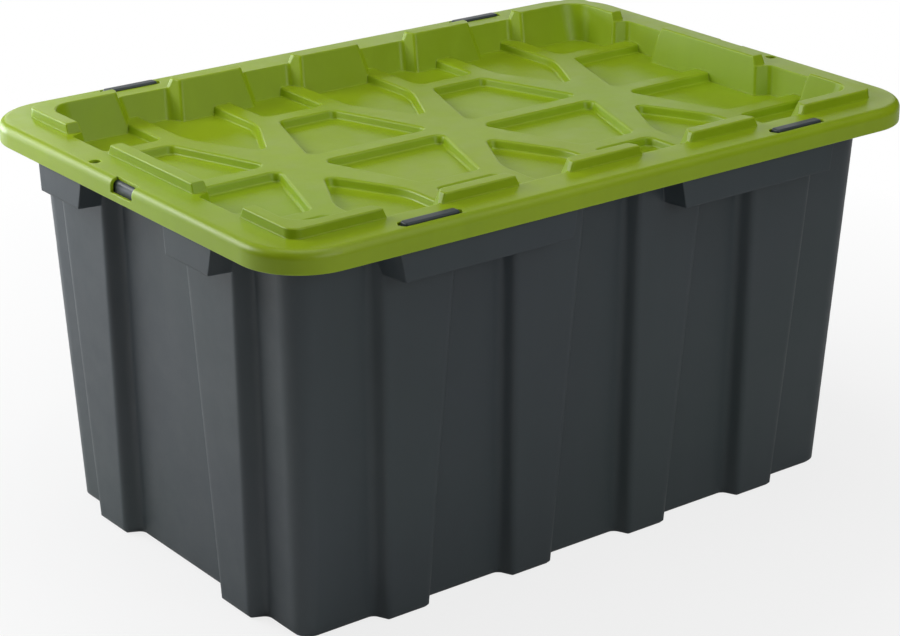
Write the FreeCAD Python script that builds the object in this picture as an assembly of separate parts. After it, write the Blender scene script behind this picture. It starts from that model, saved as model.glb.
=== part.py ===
"""Storage crate: a ribbed tub with a stacking lid that clips on.

Millimetres, +Z up. The origin is the middle of the base, on the floor. X runs along the length.
"""
import FreeCAD
import Part
import math
import os
from collections import namedtuple

# Tub: the wall between the ribs, measured outside, at the floor and at the rim
TUB_HEIGHT = 392.0
BASE_LENGTH = 650.0
BASE_WIDTH = 400.0
MOUTH_LENGTH = 685.0
MOUTH_WIDTH = 446.0
BASE_CORNER_RADIUS = 18.0
MOUTH_CORNER_RADIUS = 26.0
TUB_WALL = 3.0
BASE_BEVEL = 3.0
FLOOR_BEVEL = 1.5

# Ribs: hollow pilasters that swell out of the wall and widen towards the rim
RIB_DEPTH = 15.0
RIB_FLANK = 7.0
RIB_EDGE_ROUND = 5.0
RIB_FOOT_ROUND = 6.0
LONG_RIB_COUNT = 4
LONG_RIB_PITCH = 145.0
LONG_RIB_BASE_WIDTH = 46.0
LONG_RIB_RIM_WIDTH = 81.0
END_RIB_COUNT = 2
END_RIB_PITCH = 221.0
END_RIB_BASE_WIDTH = 48.0
END_RIB_RIM_WIDTH = 84.0

# Rim: a flat flange with a turned-down edge
RIM_THICKNESS = 3.0
RIM_EDGE_DROP = 12.0
RIM_EDGE_ROUND = 4.5
RIM_CLEARANCE = 1.5

# Hand grips: skirts that hang from the rim, closed at both ends and open below
GRIP_DROP = 45.0
GRIP_FLARE = 2.0
GRIP_WALL = 3.0
GRIP_END_SLANT = 8.0
GRIP_END_TURN = 6.0
LONG_GRIP_OFFSET = 160.0
LONG_GRIP_LENGTH = 201.0
END_GRIP_LENGTH = 85.0

# Clip tabs on the long sides, and rounded bosses on the ends
TAB_LENGTH = 58.0
TAB_WIDTH = 10.7
TAB_RISE = 2.0
TAB_INSET = 15.5
TAB_CORNER_ROUND = 3.0
TAB_TOP_ROUND = 1.8
SLOT_CLEARANCE = 1.3
SLOT_POINT = 4.0
BOSS_LENGTH = 33.0
BOSS_RADIUS = 6.5
BOSS_DROP = 0.8
BOSS_OFFSET = 8.0
BOSS_LIP_GAP = 0.5
WINDOW_CLEARANCE = 1.8
WINDOW_DEPTH = 8.0

# Lock holes through the lid and the rim
LOCK_RADIUS = 5.5
LOCK_INSET = 13.5
LOCK_OFFSET = 60.0

# Lid
LID_LENGTH = 760.0
LID_WIDTH = 528.0
LID_CORNER_RADIUS = 61.0
LID_WALL = 3.0
LIP_HEIGHT = 21.0
LIP_TOP_ROUND = 8.0
LIP_FOOT_ROUND = 1.0

# Stacking recess, which takes the base of another crate, and the curbs round it
STACK_CLEARANCE = 1.5
LANE_DEPTH = 21.0
RECESS_LONG_DRAFT = 11.0
RECESS_END_DRAFT = 5.0
RECESS_RIB_DRAFT = 11.0
CURB_HEIGHT = 9.0
CURB_LENGTH = 691.0
CURB_SPAN = 454.0
CURB_CORNER_RADIUS = 12.0
CURB_DRAFT = 1.0
CURB_ROUND = 1.5
LONG_GAP = 58.0
END_GAP = 74.0
GAP_SLANT = 4.0

# Deck: raised lanes that meet in stars, with sunk cells between them
STAR_PITCH = 189.0
STAR_HUB = 47.0
LANE_WIDTH = 20.0
CROSS_LANE_OFFSET = 128.5
CELL_DEPTH = 8.5
CELL_DRAFT = 2.5
CELL_ROUND = 8.0
CELL_EDGE_ROUND = 3.0
CELL_FLOOR_ROUND = 2.5
CELL_NARROW_WIDTH = 65.0
WEDGE_WIDTH = 79.0
WEDGE_POINT = 46.0
WEDGE_SHOULDER = 123.0
WEDGE_ROUND = 60.0

# Every cut runs past the faces that it opens by this much
OVERRUN = 5.0

# Levels and places that follow from the sizes above
FLANGE_TOP = TUB_HEIGHT + LID_WALL
LANE_TOP = FLANGE_TOP - LANE_DEPTH
CELL_FLOOR = LANE_TOP - CELL_DEPTH
CURB_TOP = FLANGE_TOP + CURB_HEIGHT
LIP_FOOT = FLANGE_TOP - LIP_HEIGHT
RIM_HALF_X = LID_LENGTH / 2 - LID_WALL - RIM_CLEARANCE
RIM_HALF_Y = LID_WIDTH / 2 - LID_WALL - RIM_CLEARANCE
RIM_CORNER_RADIUS = LID_CORNER_RADIUS - LID_WALL - RIM_CLEARANCE
TAB_Y = LID_WIDTH / 2 - TAB_INSET
LOCK_X = LID_LENGTH / 2 - LOCK_INSET
BOSS_X = LID_LENGTH / 2 - LID_WALL - BOSS_LIP_GAP - BOSS_RADIUS
BOSS_Z = TUB_HEIGHT - BOSS_DROP - BOSS_RADIUS

Section = namedtuple("Section", "half_x half_y corner long_rib end_rib edge foot")

BASE = Section(BASE_LENGTH / 2, BASE_WIDTH / 2, BASE_CORNER_RADIUS, LONG_RIB_BASE_WIDTH,
               END_RIB_BASE_WIDTH, RIB_EDGE_ROUND, RIB_FOOT_ROUND)
MOUTH = Section(MOUTH_LENGTH / 2, MOUTH_WIDTH / 2, MOUTH_CORNER_RADIUS, LONG_RIB_RIM_WIDTH,
                END_RIB_RIM_WIDTH, RIB_EDGE_ROUND, RIB_FOOT_ROUND)


def vec(x, y, z=0.0):
    return FreeCAD.Vector(x, y, z)


def spread(count, pitch):
    """Centres of `count` places, `pitch` apart, about zero."""
    return [(i - (count - 1) / 2) * pitch for i in range(count)]


def rounded_wire(corners, z):
    """Closed wire at height z through (x, y, radius) corners, each rounded by its radius."""
    edges = []
    ends = []
    for i, (x, y, radius) in enumerate(corners):
        here = vec(x, y, z)
        before = vec(corners[i - 1][0], corners[i - 1][1], z) - here
        after = vec(corners[(i + 1) % len(corners)][0], corners[(i + 1) % len(corners)][1], z) - here
        before.normalize()
        after.normalize()
        half = before.getAngle(after) / 2
        inward = before + after
        inward.normalize()
        start = here + before * (radius / math.tan(half))
        end = here + after * (radius / math.tan(half))
        middle = here + inward * (radius / math.sin(half) - radius)
        ends.append((start, middle, end))
    for i, (start, middle, end) in enumerate(ends):
        edges.append(Part.LineSegment(ends[i - 1][2], start).toShape())
        edges.append(Part.Arc(start, middle, end).toShape())
    return Part.Wire(edges)


def rounded_rect(half_x, half_y, radius, z):
    corners = [(-half_x, -half_y), (half_x, -half_y), (half_x, half_y), (-half_x, half_y)]
    return rounded_wire([(x, y, radius) for x, y in corners], z)


def ribbed_wire(section, z):
    """Rounded rectangle at height z with the ribs standing out of its four sides."""
    long_ribs = (section.half_x, section.half_y, LONG_RIB_COUNT, LONG_RIB_PITCH, section.long_rib)
    end_ribs = (section.half_y, section.half_x, END_RIB_COUNT, END_RIB_PITCH, section.end_rib)
    sides = [((1, 0), (0, -1), long_ribs), ((0, 1), (1, 0), end_ribs),
             ((-1, 0), (0, 1), long_ribs), ((0, -1), (-1, 0), end_ribs)]
    corners = []
    for along, out, (half_length, offset, count, pitch, width) in sides:
        places = [(-half_length, 0.0, section.corner)]
        for centre in spread(count, pitch):
            places.append((centre - width / 2 - RIB_FLANK, 0.0, section.foot))
            places.append((centre - width / 2, RIB_DEPTH, section.edge))
            places.append((centre + width / 2, RIB_DEPTH, section.edge))
            places.append((centre + width / 2 + RIB_FLANK, 0.0, section.foot))
        for s, n, radius in places:
            x = along[0] * s + out[0] * (offset + n)
            y = along[1] * s + out[1] * (offset + n)
            corners.append((x, y, radius))
    return rounded_wire(corners, z)


def grown(section, by):
    """The section moved outwards by `by` all round, or inwards where it is negative."""
    flank = by * (math.hypot(RIB_FLANK, RIB_DEPTH) - RIB_FLANK) / RIB_DEPTH
    return Section(section.half_x + by, section.half_y + by, section.corner + by,
                   section.long_rib + 2 * flank, section.end_rib + 2 * flank,
                   section.edge + by, section.foot - by)


def drafted(section, long_draft, end_draft, rib_draft):
    """The section opened out by one draft on its long sides, one on its ends and one across its ribs."""
    return section._replace(half_x=section.half_x + end_draft, half_y=section.half_y + long_draft,
                            corner=section.corner + end_draft, long_rib=section.long_rib + rib_draft,
                            end_rib=section.end_rib + rib_draft)


def between(low, high, share):
    """Section part of the way from one to another, or past either of them."""
    return Section(*[a + (b - a) * share for a, b in zip(low, high)])


def tub_section(z):
    """Outside of the tub's wall at height z."""
    return between(BASE, MOUTH, z / TUB_HEIGHT)


def loft(wires):
    return Part.makeLoft(wires, True, True)


def slab(wire, height):
    return Part.Face(wire).extrude(vec(0, 0, height))


def fuse(shapes):
    return shapes[0].multiFuse(shapes[1:]).removeSplitter()


def box(low, high):
    size = high - low
    return Part.makeBox(size.x, size.y, size.z, low)


def turned(shape):
    """The shape and its copy half a turn round, because both mouldings repeat that way."""
    other = shape.copy()
    other.rotate(vec(0, 0), vec(0, 0, 1), 180)
    return [shape, other]


def tub_body():
    """Outside of the tub: ribbed walls with draft and a bevelled base."""
    foot = grown(tub_section(0.0), -BASE_BEVEL)
    return loft([ribbed_wire(foot, 0.0), ribbed_wire(tub_section(BASE_BEVEL), BASE_BEVEL),
                 ribbed_wire(MOUTH, TUB_HEIGHT)])


def tub_cavity():
    """Inside of the tub, one wall in from the outside, with a bevelled floor edge."""
    levels = [(TUB_WALL, FLOOR_BEVEL), (TUB_WALL + FLOOR_BEVEL, 0.0), (TUB_HEIGHT + OVERRUN, 0.0)]
    return loft([ribbed_wire(grown(tub_section(z), -TUB_WALL - bevel), z) for z, bevel in levels])


def rim():
    """Flange round the mouth with its rounded, turned-down edge."""
    foot = TUB_HEIGHT - RIM_EDGE_DROP
    outer = slab(rounded_rect(RIM_HALF_X, RIM_HALF_Y, RIM_CORNER_RADIUS, foot), RIM_EDGE_DROP)
    top_edges = [e for e in outer.Edges if e.BoundBox.ZMin > TUB_HEIGHT - RIM_EDGE_ROUND]
    outer = outer.makeFillet(RIM_EDGE_ROUND, top_edges)
    inner = slab(rounded_rect(RIM_HALF_X - RIM_THICKNESS, RIM_HALF_Y - RIM_THICKNESS,
                              RIM_CORNER_RADIUS - RIM_THICKNESS, foot - OVERRUN),
                 RIM_EDGE_DROP - RIM_THICKNESS + OVERRUN)
    return outer.cut(inner)


def grip_block(length, rim_half, wall_half, inset, drop):
    """Solid wedge under the rim, from inside the wall out to the skirt, on the side that faces -Y."""
    top = TUB_HEIGHT - RIM_THICKNESS
    wires = []
    for fall in (0.0, drop - RIM_THICKNESS):
        share = (fall + RIM_THICKNESS) / GRIP_DROP
        half = length / 2 - GRIP_END_SLANT * share - inset
        face = -(rim_half + GRIP_FLARE * share - inset)
        points = [vec(-half, face), vec(half, face), vec(half + GRIP_END_TURN, -wall_half),
                  vec(-half - GRIP_END_TURN, -wall_half)]
        level = vec(0, 0, top - fall)
        wires.append(Part.makePolygon([p + level for p in points + points[:1]]))
    return loft(wires)


def grip(length, rim_half, wall_half):
    """Skirt with two closed ends, open below for the fingers."""
    outside = grip_block(length, rim_half, wall_half, 0.0, GRIP_DROP)
    hollow = grip_block(length, rim_half, wall_half, GRIP_WALL, GRIP_DROP + OVERRUN)
    return outside.cut(hollow)


def grips():
    """Two grips on each long side, and one over each end rib."""
    made = []
    long_grip = grip(LONG_GRIP_LENGTH, RIM_HALF_Y, MOUTH_WIDTH / 2)
    for x in (-LONG_GRIP_OFFSET, LONG_GRIP_OFFSET):
        made += turned(long_grip.translated(vec(x, 0)))
    end_grip = grip(END_GRIP_LENGTH, RIM_HALF_X, MOUTH_LENGTH / 2)
    end_grip.rotate(vec(0, 0), vec(0, 0, 1), -90)
    for y in spread(END_RIB_COUNT, END_RIB_PITCH):
        made += turned(end_grip.translated(vec(0, y)))
    return made


def tab_places():
    """Middle of each clip tab on the front side, in line with the outermost ribs."""
    centres = spread(LONG_RIB_COUNT, LONG_RIB_PITCH)
    return [vec(centres[0], -TAB_Y), vec(centres[-1], -TAB_Y)]


def tabs():
    """Bars that stand on the rim and show through the lid's slots."""
    half = vec(TAB_LENGTH / 2, TAB_WIDTH / 2)
    low = TUB_HEIGHT - RIM_THICKNESS / 2
    high = FLANGE_TOP + TAB_RISE
    bar = box(vec(0, 0, low) - half, vec(0, 0, high) + half)
    upright = [e for e in bar.Edges if e.BoundBox.ZLength > TAB_RISE]
    bar = bar.makeFillet(TAB_CORNER_ROUND, upright)
    crown = [e for e in bar.Edges if e.BoundBox.ZMin > FLANGE_TOP]
    bar = bar.makeFillet(TAB_TOP_ROUND, crown)
    made = []
    for place in tab_places():
        made += turned(bar.translated(place))
    return made


def bosses():
    """Rounded bosses on the rim's two ends, which show in the lid's windows."""
    start_y = -BOSS_OFFSET - BOSS_LENGTH / 2
    bar = Part.makeCylinder(BOSS_RADIUS, BOSS_LENGTH, vec(-BOSS_X, start_y, BOSS_Z), vec(0, 1))
    outside = box(vec(-LID_LENGTH / 2, start_y, TUB_HEIGHT - RIM_EDGE_DROP),
                  vec(-RIM_HALF_X + RIM_THICKNESS / 2, start_y + BOSS_LENGTH, TUB_HEIGHT))
    return turned(bar.common(outside))


def lock_holes():
    """Cutters for the holes through the lid's flange and the tub's rim."""
    low = TUB_HEIGHT - RIM_THICKNESS - OVERRUN
    height = FLANGE_TOP + OVERRUN - low
    return turned(Part.makeCylinder(LOCK_RADIUS, height, vec(-LOCK_X, LOCK_OFFSET, low)))


def make_tub():
    tub = fuse([tub_body(), rim()] + grips())
    tub = tub.cut(tub_cavity())
    tub = fuse([tub] + tabs() + bosses())
    return tub.cut(Part.makeCompound(lock_holes())).removeSplitter()


def lid_cap():
    """Flange and lip: a shallow tray, upside down, with a rounded top edge."""
    half_x = LID_LENGTH / 2
    half_y = LID_WIDTH / 2
    outer = slab(rounded_rect(half_x, half_y, LID_CORNER_RADIUS, LIP_FOOT), LIP_HEIGHT)
    top_edges = [e for e in outer.Edges if e.BoundBox.ZMin > FLANGE_TOP - LIP_FOOT_ROUND]
    outer = outer.makeFillet(LIP_TOP_ROUND, top_edges)
    foot_edges = [e for e in outer.Edges if e.BoundBox.ZMax < LIP_FOOT + LIP_FOOT_ROUND]
    outer = outer.makeFillet(LIP_FOOT_ROUND, foot_edges)
    inner = slab(rounded_rect(half_x - LID_WALL, half_y - LID_WALL, LID_CORNER_RADIUS - LID_WALL,
                              LIP_FOOT - OVERRUN), TUB_HEIGHT - LIP_FOOT + OVERRUN)
    top_edges = [e for e in inner.Edges if e.BoundBox.ZMin > TUB_HEIGHT - LIP_FOOT_ROUND]
    inner = inner.makeFillet(LIP_TOP_ROUND - LID_WALL, top_edges)
    return outer.cut(inner)


def recess_section(z):
    """Inside of the stacking recess at height z: the tub's base with a clearance, opened by the draft."""
    deck = grown(BASE, STACK_CLEARANCE)
    brim = drafted(deck, RECESS_LONG_DRAFT, RECESS_END_DRAFT, RECESS_RIB_DRAFT)
    return between(deck, brim, (z - LANE_TOP) / (CURB_TOP - LANE_TOP))


def recess(by, low, high):
    """The recess between two heights, grown by `by` all round."""
    return loft([ribbed_wire(grown(recess_section(z), by), z) for z in (low, high)])


def gap_cutters(by):
    """Tapered gaps in the curbs over the pockets, narrowed by `by` on each side."""
    low = TUB_HEIGHT - OVERRUN
    high = CURB_TOP + OVERRUN
    sides = [(LONG_GAP, LONG_RIB_COUNT, LONG_RIB_PITCH, LID_WIDTH / 2, 0),
             (END_GAP, END_RIB_COUNT, END_RIB_PITCH, LID_LENGTH / 2, 90)]
    made = []
    for width, count, pitch, reach, angle in sides:
        wires = []
        for z in (low, high):
            half = width / 2 + GAP_SLANT * (z - FLANGE_TOP) / CURB_HEIGHT - by
            points = [vec(-half, -reach, z), vec(half, -reach, z), vec(half, 0, z), vec(-half, 0, z)]
            wires.append(Part.makePolygon(points + points[:1]))
        gap = loft(wires)
        for centre in spread(count, pitch):
            cutter = gap.translated(vec(centre, 0))
            cutter.rotate(vec(0, 0), vec(0, 0, 1), angle)
            made += turned(cutter)
    return made


def curbs(inset, low):
    """Curbs from height `low` up, with every face moved in by `inset`."""
    wires = [rounded_rect(CURB_LENGTH / 2 - inset - back, CURB_SPAN / 2 - inset - back,
                          CURB_CORNER_RADIUS - inset, z)
             for z, back in ((low, 0.0), (CURB_TOP - inset, CURB_DRAFT))]
    ring = loft(wires).cut(recess(inset, LANE_TOP, CURB_TOP + OVERRUN))
    return ring.cut(Part.makeCompound(gap_cutters(-inset)))


def is_curb_end(edge):
    """True for an upright edge on the outside of the curbs, where one of them stops at a gap."""
    x = abs(edge.CenterOfMass.x)
    y = abs(edge.CenterOfMass.y)
    clear = 2 * CURB_CORNER_RADIUS
    on_long = y > CURB_SPAN / 2 - 2 * CURB_DRAFT and x < CURB_LENGTH / 2 - clear
    on_end = x > CURB_LENGTH / 2 - 2 * CURB_DRAFT and y < CURB_SPAN / 2 - clear
    return edge.BoundBox.ZLength > CURB_HEIGHT and (on_long or on_end)


def rounded_curbs():
    """Curbs with their ends and top edges rounded."""
    made = []
    for curb in curbs(0.0, TUB_HEIGHT).Solids:
        curb = curb.makeFillet(CURB_ROUND, [e for e in curb.Edges if is_curb_end(e)])
        crown = [e for e in curb.Edges if e.BoundBox.ZMin > CURB_TOP - CURB_DRAFT]
        made.append(curb.makeFillet(CURB_ROUND, crown))
    return made


def inset_corners(corners, inset):
    """Convex (x, y, radius) corners, counter-clockwise, with every side moved in by `inset`."""
    sides = []
    for i, (x, y, radius) in enumerate(corners):
        next_x, next_y, next_radius = corners[(i + 1) % len(corners)]
        run = math.hypot(next_x - x, next_y - y)
        out_x = (next_y - y) / run
        out_y = (x - next_x) / run
        sides.append((out_x, out_y, out_x * x + out_y * y - inset))
    moved = []
    for i, (bx, by, b_reach) in enumerate(sides):
        ax, ay, a_reach = sides[i - 1]
        cross = ax * by - ay * bx
        x = (a_reach * by - b_reach * ay) / cross
        y = (ax * b_reach - bx * a_reach) / cross
        moved.append((x, y, corners[i][2] - inset))
    return moved


def cell_outlines():
    """Outlines of the sunk cells in one quarter of the deck, which run out past the recess wall."""
    half = STAR_PITCH / 2
    mouth = recess_section(LANE_TOP)
    end_x = mouth.half_x + RIB_DEPTH + CELL_ROUND
    end_y = mouth.half_y + RIB_DEPTH + CELL_ROUND
    near_y = LANE_WIDTH / 2
    far_y = CROSS_LANE_OFFSET - LANE_WIDTH / 2
    wall_y = CROSS_LANE_OFFSET + LANE_WIDTH / 2
    hub = STAR_HUB / 2
    narrow = CELL_NARROW_WIDTH / 2
    wedge = WEDGE_WIDTH / 2
    side = half - wedge - LANE_WIDTH
    fan = [(hub, near_y), (STAR_PITCH - hub, near_y), (half + narrow, far_y), (half - narrow, far_y)]
    end_fan = [(STAR_PITCH + hub, near_y), (end_x, near_y), (end_x, far_y), (3 * half - narrow, far_y)]
    bay = [(half - side, wall_y), (half + side, wall_y), (half + side, end_y), (half - side, end_y)]
    end_bay = [(3 * half - side, wall_y), (end_x, wall_y), (end_x, end_y), (3 * half - side, end_y)]
    outlines = [[(x, y, CELL_ROUND) for x, y in points] for points in (fan, end_fan, bay, end_bay)]
    for star in (0.0, STAR_PITCH):
        outlines.append([(star, WEDGE_POINT, CELL_ROUND), (star + wedge, WEDGE_SHOULDER, WEDGE_ROUND),
                         (star + wedge, end_y, CELL_ROUND), (star - wedge, end_y, CELL_ROUND),
                         (star - wedge, WEDGE_SHOULDER, WEDGE_ROUND)])
    return outlines


def all_cells():
    """Every cell outline, counter-clockwise: the quarter's cells mirrored to the other three quarters."""
    cells = []
    for outline in cell_outlines():
        on_middle = min(x for x, y, radius in outline) < 0.0
        for sx in ((1,) if on_middle else (1, -1)):
            for sy in (1, -1):
                corners = [(sx * x, sy * y, radius) for x, y, radius in outline]
                cells.append(corners if sx * sy > 0 else corners[::-1])
    return cells


def cell(outline, by, top, floor):
    """Sunk cell from `top` down to `floor`, grown by `by` all round."""
    wires = []
    for z in (top, floor):
        inset = CELL_DRAFT * (LANE_TOP - z) / CELL_DEPTH
        wires.append(rounded_wire(inset_corners(outline, inset - by), z))
    return loft(wires)


def hollow(outline):
    """Inside of a cell, with its floor edge rounded."""
    solid = cell(outline, 0.0, LANE_TOP + OVERRUN, CELL_FLOOR)
    floor_edges = [e for e in solid.Edges if e.BoundBox.ZMax < CELL_FLOOR + CELL_FLOOR_ROUND]
    return solid.makeFillet(CELL_FLOOR_ROUND, floor_edges)


def deck():
    """Sheet of the lanes with the cells sunk in it, one wall thick, trimmed to meet the recess wall."""
    reach = vec(LID_LENGTH / 2, LID_WIDTH / 2)
    sheet = box(vec(0, 0, LANE_TOP - LID_WALL) - reach, vec(0, 0, LANE_TOP) + reach)
    trays = [cell(c, LID_WALL, LANE_TOP - LID_WALL / 2, CELL_FLOOR - LID_WALL) for c in all_cells()]
    sheet = fuse([sheet] + trays).cut(Part.makeCompound([hollow(c) for c in all_cells()]))
    lips = [e for e in sheet.Edges if e.BoundBox.ZMin > LANE_TOP - LID_WALL / 2
            and abs(e.CenterOfMass.x) < reach.x - OVERRUN and abs(e.CenterOfMass.y) < reach.y - OVERRUN]
    sheet = sheet.makeFillet(CELL_EDGE_ROUND, lips)
    return sheet.common(recess(LID_WALL / 2, CELL_FLOOR - LID_WALL - OVERRUN, LANE_TOP + OVERRUN))


def tab_slots():
    """Cutters for the slots in the lid's flange, pointed at both ends."""
    half_x = TAB_LENGTH / 2 + SLOT_CLEARANCE
    half_y = TAB_WIDTH / 2 + SLOT_CLEARANCE
    tip = half_x + SLOT_POINT
    low = TUB_HEIGHT - OVERRUN
    points = [(-half_x, -half_y), (half_x, -half_y), (tip, 0.0),
              (half_x, half_y), (-half_x, half_y), (-tip, 0.0)]
    outline = rounded_wire([(x, y, SLOT_CLEARANCE) for x, y in points], low)
    slot = slab(outline, FLANGE_TOP + OVERRUN - low)
    made = []
    for place in tab_places():
        made += turned(slot.translated(place))
    return made


def boss_windows():
    """Cutters for the windows in the lid's end lips, open above and clear of the bosses all round."""
    half_y = BOSS_LENGTH / 2 + WINDOW_CLEARANCE
    low = vec(-LID_LENGTH / 2 - OVERRUN, -BOSS_OFFSET - half_y, BOSS_Z - BOSS_RADIUS / 2)
    high = vec(-LID_LENGTH / 2 + WINDOW_DEPTH, -BOSS_OFFSET + half_y, FLANGE_TOP + OVERRUN)
    return turned(box(low, high))


def make_lid():
    pan = recess(LID_WALL, CELL_FLOOR - LID_WALL, FLANGE_TOP)
    lid = fuse([lid_cap(), pan] + rounded_curbs())
    lid = lid.cut(recess(0.0, CELL_FLOOR - LID_WALL - OVERRUN, CURB_TOP + OVERRUN))
    lid = fuse([lid, deck()])
    cutters = [curbs(LID_WALL, TUB_HEIGHT - OVERRUN)] + tab_slots() + boss_windows() + lock_holes()
    return lid.cut(Part.makeCompound(cutters)).removeSplitter()


def main():
    os.makedirs("parts", exist_ok=True)
    for name, shape in (("tub", make_tub()), ("lid", make_lid())):
        shape.exportStep("parts/" + name + ".step")


main()
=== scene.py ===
import math

import bpy
from mathutils import Matrix, Vector

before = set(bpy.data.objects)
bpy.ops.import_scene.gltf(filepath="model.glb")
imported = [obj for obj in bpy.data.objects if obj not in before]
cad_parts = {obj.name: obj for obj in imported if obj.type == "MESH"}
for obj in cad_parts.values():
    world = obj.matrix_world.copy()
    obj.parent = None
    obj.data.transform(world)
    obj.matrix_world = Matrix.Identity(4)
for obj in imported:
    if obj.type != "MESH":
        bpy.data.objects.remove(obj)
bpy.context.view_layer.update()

# Lengths are in metres and colours are linear
# Camera: a plain pinhole without shift, its focal length in pixels of an image this wide
IMAGE_WIDTH = 900
FOCAL_PIXELS = 2549.8
SENSOR_WIDTH = 36.0
CAMERA_AZIMUTH = math.radians(-37.41)
CAMERA_ELEVATION = math.radians(21.489)
CAMERA_DISTANCE = 2.6156
CAMERA_RIGHT = -0.0049
CAMERA_UP = 0.1377
CAMERA_TARGET = Vector((0.0, 0.0, 0.0252))
CAMERA_REACH = 50.0

# Stage
FLOOR_HALF = 6.0
FLOOR_COLOUR = (0.86, 0.86, 0.86, 1.0)
FLOOR_CLEAR_RADIUS = 0.45
FLOOR_WHITE_RADIUS = 1.1
FLOOR_NEAR_WHITE = 0.8
SWEEP_FRONT = -0.4
SWEEP_BACK = 0.6
SWEEP_WHITE = 0.5
AMBIENT = 0.02
WHITE = (1.0, 1.0, 1.0, 1.0)

# Soft boxes: degrees round from the front towards the left, degrees up, distance, width, height, radiance
LIGHT_TARGET = Vector((0.0, 0.0, 0.25))
SOFT_BOXES = {
    "left_key": (130.0, 30.0, 1.5, 0.8, 0.6, 7.3),
    "back_left_low": (158.0, 5.0, 2.2, 0.85, 0.8, 9.6),
    "back_low": (192.0, 19.0, 2.6, 0.6, 0.7, 3.4),
    "back_right_low": (224.0, 14.0, 2.6, 1.9, 1.1, 1.1),
    "front_low": (357.0, 24.0, 2.6, 1.6, 0.9, 2.6),
    "front_right_high": (330.0, 50.0, 2.6, 1.8, 1.2, 1.3),
    "top": (180.0, 88.0, 2.4, 1.6, 1.6, 1.9),
}
COOL_BOXES = ("back_left_low",)
COOL_WHITE = (0.88, 0.94, 1.0)

# Plastics: how strong the grain and the pale outer edges are (partly wear, partly a painted edge highlight),
# and how soft the edges below the rim look
TUB_FINISH = {"colour": (0.049, 0.062, 0.072), "roughness": 0.42, "grain": 0.10, "wear_and_highlight": 0.20,
              "edge_radius": 0.008}
LID_FINISH = {"colour": (0.332, 0.470, 0.006), "roughness": 0.40, "grain": 0.08, "wear_and_highlight": 0.50,
              "edge_radius": 0.0015}
PLASTIC_IOR = 1.49

# Uneven colour: scale, detail and roughness of each noise, its share, and how far it shifts the colour
CLOUDS = (5.0, 4.0, 0.55)
FLOW = (38.0, 5.0, 0.6)
STREAKS = (55.0, 4.0, 0.6)
HUES = (3.2, 3.0, 0.5)
STREAK_STRETCH = (1.0, 1.0, 0.06)
CLOUD_SHARE = 0.5
FLOW_SHARE = 0.2
STREAK_SHARE = 0.3
NOISE_RANGE = (0.35, 0.65)
TONE_DARK = 0.94
TONE_LIGHT = 1.06
HUE_SHIFT = (0.96, 1.03, 0.95, 1.0)

# Edges: soft below one height and crisp above another, and paler close to an outer edge, partly from wear
# and partly a painted highlight
SOFT_BELOW = 0.30
CRISP_ABOVE = 0.36
CRISP_RADIUS = 0.0015
EDGE_SAMPLES = 8
WEAR_AND_HIGHLIGHT_REACH = 0.0022
WEAR_AND_HIGHLIGHT_START = 0.90
WEAR_AND_HIGHLIGHT_FULL = 0.55
WEAR_AND_HIGHLIGHT_PATCHES = (0.42, 0.62)
WEAR_AND_HIGHLIGHT_LEAST = 0.2
# How much paler the outer edges get: partly wear, partly a painted highlight
WEAR_AND_HIGHLIGHT_PALER = 1.9

# Surface: scuffs that change the roughness, and two layers of moulded grain
SCUFFS = (3.0, 6.0, 0.7)
SCUFF_STRETCH = (8.0, 60.0, 60.0)
SCUFF_RANGE = (0.62, 0.78)
SCUFF_ROUGHNESS = 0.06
ROUGHNESS_RANGE = (0.3, 0.7)
ROUGHNESS_SPREAD = 0.05
GRAIN = (420.0, 3.0, 0.6)
SPECKS = (900.0, 2.0, 0.5)
SPECK_SHARE = 0.5
GRAIN_DEPTH = 0.0006

# Places of the colour sockets on the Mix node, which has a set of sockets for each kind of data
MIX_FACTOR, MIX_A, MIX_B, MIX_RESULT = 0, 6, 7, 2


def view_axes(azimuth, elevation):
    """Right, up and back directions of a camera that looks at the origin from there."""
    back = Vector((math.sin(azimuth) * math.cos(elevation), -math.cos(azimuth) * math.cos(elevation),
                   math.sin(elevation)))
    right = Vector((math.cos(azimuth), math.sin(azimuth), 0.0))
    return right, back.cross(right), back


def add_camera():
    right, up, back = view_axes(CAMERA_AZIMUTH, CAMERA_ELEVATION)
    data = bpy.data.cameras.new("photo_camera")
    data.sensor_width = SENSOR_WIDTH
    data.lens = FOCAL_PIXELS / IMAGE_WIDTH * SENSOR_WIDTH
    data.clip_end = CAMERA_REACH
    camera = bpy.data.objects.new("photo_camera", data)
    place = CAMERA_TARGET + back * CAMERA_DISTANCE + right * CAMERA_RIGHT + up * CAMERA_UP
    turn = Matrix((right, up, back)).transposed().to_4x4()
    camera.matrix_world = Matrix.Translation(place) @ turn
    bpy.context.scene.collection.objects.link(camera)
    bpy.context.scene.camera = camera


def add_soft_box(name, around, up, distance, width, height, radiance):
    """Soft light that faces the crate. An area light of pi watts per square metre has a radiance of one."""
    around = math.radians(around)
    up = math.radians(up)
    towards = Vector((-math.sin(around) * math.cos(up), -math.cos(around) * math.cos(up), math.sin(up)))
    data = bpy.data.lights.new(name, "AREA")
    data.shape = "RECTANGLE"
    data.size = width
    data.size_y = height
    data.energy = math.pi * width * height * radiance
    if name in COOL_BOXES:
        data.color = COOL_WHITE
    light = bpy.data.objects.new(name, data)
    light.location = LIGHT_TARGET + towards * distance
    light.rotation_euler = towards.to_track_quat("Z", "Y").to_euler()
    bpy.context.scene.collection.objects.link(light)


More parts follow.
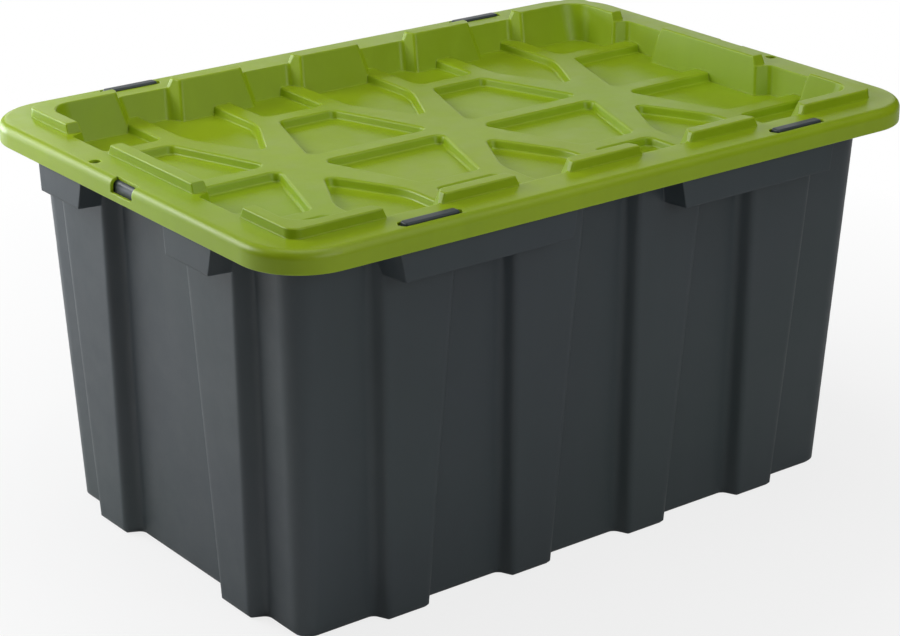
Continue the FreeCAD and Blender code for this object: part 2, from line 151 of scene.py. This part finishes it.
class Nodes:
    """Short way to add and join shader nodes."""

    def __init__(self, tree):
        self.tree = tree
        tree.nodes.clear()

    def add(self, kind, inputs=None, **settings):
        node = self.tree.nodes.new(kind)
        for key, value in settings.items():
            setattr(node, key, value)
        for key, value in (inputs or {}).items():
            if isinstance(value, bpy.types.NodeSocket):
                self.tree.links.new(value, node.inputs[key])
            else:
                node.inputs[key].default_value = value
        return node

    def math(self, operation, a, b, clamp=False):
        return self.add("ShaderNodeMath", {0: a, 1: b}, operation=operation, use_clamp=clamp).outputs[0]

    def noise(self, vector, scale, detail, roughness):
        return self.add("ShaderNodeTexNoise", {"Vector": vector, "Scale": scale, "Detail": detail,
                                               "Roughness": roughness}).outputs["Fac"]

    def stretched(self, vector, scale):
        return self.add("ShaderNodeMapping", {"Vector": vector, "Scale": scale}).outputs["Vector"]

    def span(self, value, low, high, to_low, to_high):
        return self.add("ShaderNodeMapRange", {"Value": value, "From Min": low, "From Max": high,
                                               "To Min": to_low, "To Max": to_high}).outputs["Result"]

    def mix_colour(self, factor, a, b, blend="MIX"):
        return self.add("ShaderNodeMix", {MIX_FACTOR: factor, MIX_A: a, MIX_B: b}, data_type="RGBA",
                        blend_type=blend).outputs[MIX_RESULT]


def shade(colour, gain):
    return tuple(min(1.0, c * gain) for c in colour) + (1.0,)


def uneven_colour(nodes, place, flow, colour):
    """Colour with faint clouds, flow marks, upright streaks and a slow drift of hue."""
    clouds = nodes.noise(place, *CLOUDS)
    streaks = nodes.noise(nodes.stretched(place, STREAK_STRETCH), *STREAKS)
    tone = nodes.math("ADD", nodes.math("MULTIPLY", clouds, CLOUD_SHARE),
                      nodes.math("MULTIPLY", flow, FLOW_SHARE))
    tone = nodes.math("ADD", tone, nodes.math("MULTIPLY", streaks, STREAK_SHARE))
    tone = nodes.span(tone, *NOISE_RANGE, 0.0, 1.0)
    base = nodes.mix_colour(tone, shade(colour, TONE_DARK), shade(colour, TONE_LIGHT))
    hue = nodes.span(nodes.noise(place, *HUES), *NOISE_RANGE, 0.0, 1.0)
    return nodes.mix_colour(hue, base, HUE_SHIFT, "MULTIPLY")


def edge_wear_and_highlight(nodes, flow):
    """How far each spot is paled, from none to one: outer edges only, and in patches. The paling is partly
    wear and partly a painted edge highlight.
    """
    inner = nodes.add("ShaderNodeAmbientOcclusion", {"Distance": WEAR_AND_HIGHLIGHT_REACH}, samples=EDGE_SAMPLES,
                      inside=True, only_local=True).outputs["AO"]
    edge = nodes.span(inner, WEAR_AND_HIGHLIGHT_START, WEAR_AND_HIGHLIGHT_FULL, 0.0, 1.0)
    return nodes.math("MULTIPLY", edge, nodes.span(flow, *WEAR_AND_HIGHLIGHT_PATCHES, WEAR_AND_HIGHLIGHT_LEAST, 1.0))


def moulded_plastic(name, colour, roughness, grain, wear_and_highlight, edge_radius):
    """Satin moulded plastic: uneven colour, pale outer edges (partly wear, partly a painted highlight),
    scuffs, soft-looking ribs and fine grain.
    """
    material = bpy.data.materials.new(name)
    material.use_nodes = True
    nodes = Nodes(material.node_tree)
    place = nodes.add("ShaderNodeTexCoord").outputs["Object"]
    flow = nodes.noise(place, *FLOW)
    base = uneven_colour(nodes, place, flow, colour)
    worn_and_highlighted = nodes.math("MULTIPLY", edge_wear_and_highlight(nodes, flow), wear_and_highlight)
    # Outer edges are mixed towards a paler colour: partly wear, partly a painted edge highlight
    base = nodes.mix_colour(worn_and_highlighted, base, shade(colour, WEAR_AND_HIGHLIGHT_PALER))

    scuffs = nodes.noise(nodes.stretched(place, SCUFF_STRETCH), *SCUFFS)
    marks = nodes.span(scuffs, *SCUFF_RANGE, 0.0, 1.0)
    rough = nodes.span(flow, *ROUGHNESS_RANGE, roughness - ROUGHNESS_SPREAD, roughness + ROUGHNESS_SPREAD)
    rough = nodes.math("ADD", rough, nodes.math("MULTIPLY", marks, SCUFF_ROUGHNESS), clamp=True)

    level = nodes.add("ShaderNodeSeparateXYZ", {"Vector": place}).outputs["Z"]
    radius = nodes.span(level, SOFT_BELOW, CRISP_ABOVE, edge_radius, CRISP_RADIUS)
    soft_normal = nodes.add("ShaderNodeBevel", {"Radius": radius}, samples=EDGE_SAMPLES).outputs["Normal"]
    specks = nodes.math("MULTIPLY", nodes.noise(place, *SPECKS), SPECK_SHARE)
    height = nodes.math("ADD", specks, nodes.noise(place, *GRAIN))
    bump = nodes.add("ShaderNodeBump", {"Strength": grain, "Distance": GRAIN_DEPTH, "Height": height,
                                        "Normal": soft_normal}).outputs["Normal"]
    shader = nodes.add("ShaderNodeBsdfPrincipled", {"Base Color": base, "Roughness": rough, "Normal": bump,
                                                    "IOR": PLASTIC_IOR})
    nodes.add("ShaderNodeOutputMaterial", {"Surface": shader.outputs["BSDF"]})
    return material


def floor_material():
    """Pale floor that keeps a soft shadow near the crate and runs out to plain white for the camera.

    In the plastic's gloss it is a white sweep behind the crate that fades towards the front.
    """
    material = bpy.data.materials.new("pale_floor")
    material.use_nodes = True
    nodes = Nodes(material.node_tree)
    place = nodes.add("ShaderNodeNewGeometry").outputs["Position"]
    away = nodes.add("ShaderNodeVectorMath", {0: place}, operation="LENGTH").outputs["Value"]
    depth = nodes.add("ShaderNodeSeparateXYZ", {"Vector": place}).outputs["Y"]
    path = nodes.add("ShaderNodeLightPath").outputs
    far = nodes.span(away, FLOOR_CLEAR_RADIUS, FLOOR_WHITE_RADIUS, FLOOR_NEAR_WHITE, 1.0)
    sweep = nodes.span(depth, SWEEP_FRONT, SWEEP_BACK, 0.0, SWEEP_WHITE)
    seen = nodes.math("MULTIPLY", far, path["Is Camera Ray"])
    mirrored = nodes.math("MULTIPLY", sweep, path["Is Glossy Ray"])
    diffuse = nodes.add("ShaderNodeBsdfDiffuse", {"Color": FLOOR_COLOUR}).outputs["BSDF"]
    white = nodes.add("ShaderNodeEmission", {"Color": WHITE, "Strength": 1.0}).outputs["Emission"]
    mix = nodes.add("ShaderNodeMixShader", {0: nodes.math("ADD", seen, mirrored), 1: diffuse, 2: white})
    nodes.add("ShaderNodeOutputMaterial", {"Surface": mix.outputs["Shader"]})
    return material


def add_floor():
    mesh = bpy.data.meshes.new("floor")
    h = FLOOR_HALF
    mesh.from_pydata([(-h, -h, 0.0), (h, -h, 0.0), (h, h, 0.0), (-h, h, 0.0)], [], [(0, 1, 2, 3)])
    mesh.materials.append(floor_material())
    floor = bpy.data.objects.new("floor", mesh)
    bpy.context.scene.collection.objects.link(floor)


def add_world():
    """White for the camera, and a soft grey light from everywhere else."""
    world = bpy.data.worlds.new("studio")
    bpy.context.scene.world = world
    world.use_nodes = True
    nodes = Nodes(world.node_tree)
    path = nodes.add("ShaderNodeLightPath").outputs["Is Camera Ray"]
    white = nodes.add("ShaderNodeBackground", {"Color": WHITE, "Strength": 1.0}).outputs["Background"]
    soft = nodes.add("ShaderNodeBackground", {"Color": WHITE, "Strength": AMBIENT}).outputs["Background"]
    mix = nodes.add("ShaderNodeMixShader", {0: path, 1: soft, 2: white})
    nodes.add("ShaderNodeOutputWorld", {"Surface": mix.outputs["Shader"]})


def dress(node, material):
    """Give a CAD node its finished material in every slot."""
    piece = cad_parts[node]
    if not piece.material_slots:
        piece.data.materials.append(material)
    for slot in piece.material_slots:
        slot.material = material


bpy.context.scene.view_settings.view_transform = "Standard"
add_camera()
add_world()
add_floor()
for box_name, box in SOFT_BOXES.items():
    add_soft_box(box_name, *box)

dress("tub", moulded_plastic("charcoal_plastic", **TUB_FINISH))
dress("lid", moulded_plastic("lime_plastic", **LID_FINISH))
